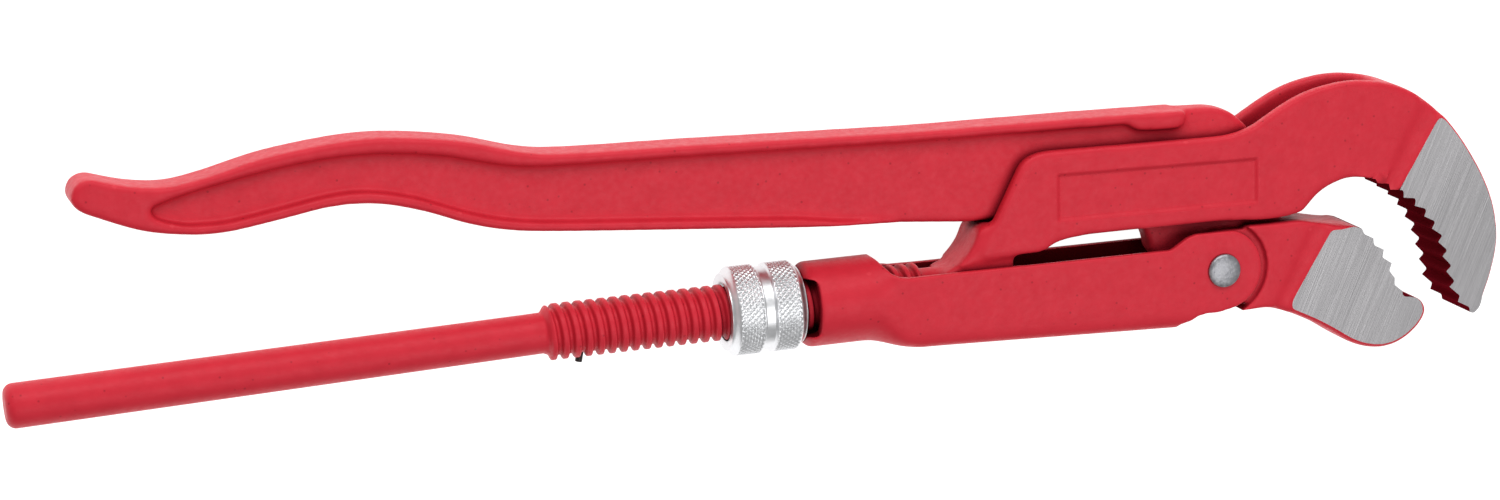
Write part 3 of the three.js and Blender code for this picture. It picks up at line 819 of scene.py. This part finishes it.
def adjusting_nut():
    low, high = (TO_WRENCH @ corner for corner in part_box("adjusting_nut"))
    start, end = low.x, high.x
    columns = KNURLS * 8
    angles = turn_angles(columns)
    rings = [(x, nut_outside(x, start, end, angles)) for x in np.linspace(start, end, 126)]
    rings += [(end, np.full(columns, radius)) for radius in NUT_FACE_RADII]
    rings += [(x, nut_inside(x, start, end, angles)) for x in np.linspace(end - 0.3, start + 0.3, 70)]
    rings += [(start, np.full(columns, radius)) for radius in reversed(NUT_FACE_RADII)]
    points = []
    for x, radius in rings:
        points += list(zip(np.full(columns, x), radius * np.cos(angles), radius * np.sin(angles)))
    faces = grid_faces(len(rings), columns, close_rows=True)
    nut = new_object("knurled_nut", mesh_of("knurled_nut", points, faces))
    finish_piece(nut, "nut", "adjusting_nut", "chrome", CHROME)


def lathe(name, profile, columns):
    """A body turned about Z from [radius, z] pairs that start and end just off the axis."""
    points = [(r * math.cos(t), r * math.sin(t), z) for r, z in profile for t in turn_angles(columns)]
    return mesh_of(name, points, capped_faces(len(profile), columns))


def pivot_rivet():
    low, high = (TO_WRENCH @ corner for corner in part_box("pivot_rivet"))
    head = (high.x - low.x) / 2
    seat = high.z - RIVET_HEAD_HEIGHT
    rim = seat + RIVET_EDGE
    profile = [(RIVET_SHANK, seat), (head - RIVET_EDGE, seat), (head, rim)]
    dome_steps = 14
    for step in range(1, dome_steps + 1):
        angle = step / dome_steps * math.pi / 2
        dome = (high.z - rim) * math.sin(angle) ** 0.8
        profile.append((max(0.05, head * math.cos(angle)), rim + dome))
    whole = [(r, -z) for r, z in reversed(profile)] + profile
    rivet = new_object("rivet", lathe("rivet", whole, 64))
    rivet.data.transform(Matrix.Translation((PIVOT_X, PIVOT_Y, 0)))
    finish_piece(rivet, "sleeve", "pivot_rivet", "rivet_steel", RIVET)


def nut_stop_pin():
    pin = cad_copy("nut_stop_pin", "stop_pin")
    bevel = pin.modifiers.new("bevel", "BEVEL")
    bevel.width = PIN_BEVEL
    bevel.segments = 3
    bevel.limit_method = "ANGLE"
    bake_modifiers(pin)
    finish_piece(pin, "hook_arm", "nut_stop_pin", "dark_steel", DARK)


hook_arm()
heel_arm()
sleeve()
adjusting_nut()
pivot_rivet()
nut_stop_pin()


# ---- Stage, lights and camera ----

FLOOR_HALF = 3.0
WORLD_STRENGTH = 0.38

YAW = math.radians(16)
PITCH = math.radians(12.5)
ROLL = math.radians(-2.7856)
CAMERA_DISTANCE = 1.1338
LENS = 100.8
TARGET_RIGHT = -0.007722
TARGET_UP = 0.002159


def floor():
    """White paper that shines evenly, so the wrench casts no shadow that shows."""
    corners = [(x * FLOOR_HALF, y * FLOOR_HALF, 0) for x, y in ((-1, -1), (1, -1), (1, 1), (-1, 1))]
    plane = new_object("floor", mesh_of("floor", corners, [(0, 1, 2, 3)]))
    s = Surface("floor_white")
    socket(s.shader, Roughness=0.8, Emission_Color=(1, 1, 1, 1), Emission_Strength=1.0)
    colour = s.mix(s.noise(4, 2), (0.34, 0.34, 0.34, 1), (0.38, 0.38, 0.38, 1))
    s.give(s.shader.inputs["Base Color"], colour)
    plane.data.materials.append(s.material)


def soft_light(name, place, size, power):
    """A rectangular light that looks at the middle of the frame."""
    light = bpy.data.lights.new(name, "AREA")
    light.shape = "RECTANGLE"
    light.size, light.size_y = size
    light.energy = power
    obj = new_object(name, light)
    obj.location = place
    obj.rotation_euler = (-Vector(place)).to_track_quat("-Z", "Y").to_euler()


def lights():
    world = bpy.data.worlds.new("studio")
    bpy.context.scene.world = world
    world.use_nodes = True
    background = world.node_tree.nodes["Background"]
    background.inputs["Color"].default_value = (1, 1, 1, 1)
    background.inputs["Strength"].default_value = WORLD_STRENGTH
    soft_light("top_softbox", (0.0, 1.1, 0.8), (1.6, 0.6), 11)
    soft_light("front_softbox", (0.35, -0.3, 1.5), (1.2, 0.8), 8)


def camera():
    """The photograph's view: a little from the left of square-on, a little from above, slightly rolled."""
    view = bpy.data.cameras.new("camera")
    view.lens = LENS
    view.sensor_width = 36
    view.sensor_fit = "HORIZONTAL"
    view.clip_end = 10
    obj = new_object("camera", view)
    middle = (cad_bounds[0] + cad_bounds[1]) / 2
    target = Vector((middle[0] + TARGET_RIGHT, middle[1] + TARGET_UP, middle[2]))
    level = math.cos(PITCH)
    back = Vector((-math.sin(YAW) * level, math.sin(PITCH), math.cos(YAW) * level))
    level_right = Vector((0, 1, 0)).cross(back).normalized()
    level_up = back.cross(level_right)
    right = math.cos(ROLL) * level_right + math.sin(ROLL) * level_up
    up = back.cross(right)
    turn = Matrix((right, up, back)).transposed().to_4x4()
    obj.matrix_world = Matrix.Translation(target + back * CAMERA_DISTANCE) @ turn
    bpy.context.scene.camera = obj


floor()
lights()
camera()
bpy.context.scene.view_settings.view_transform = "Standard"
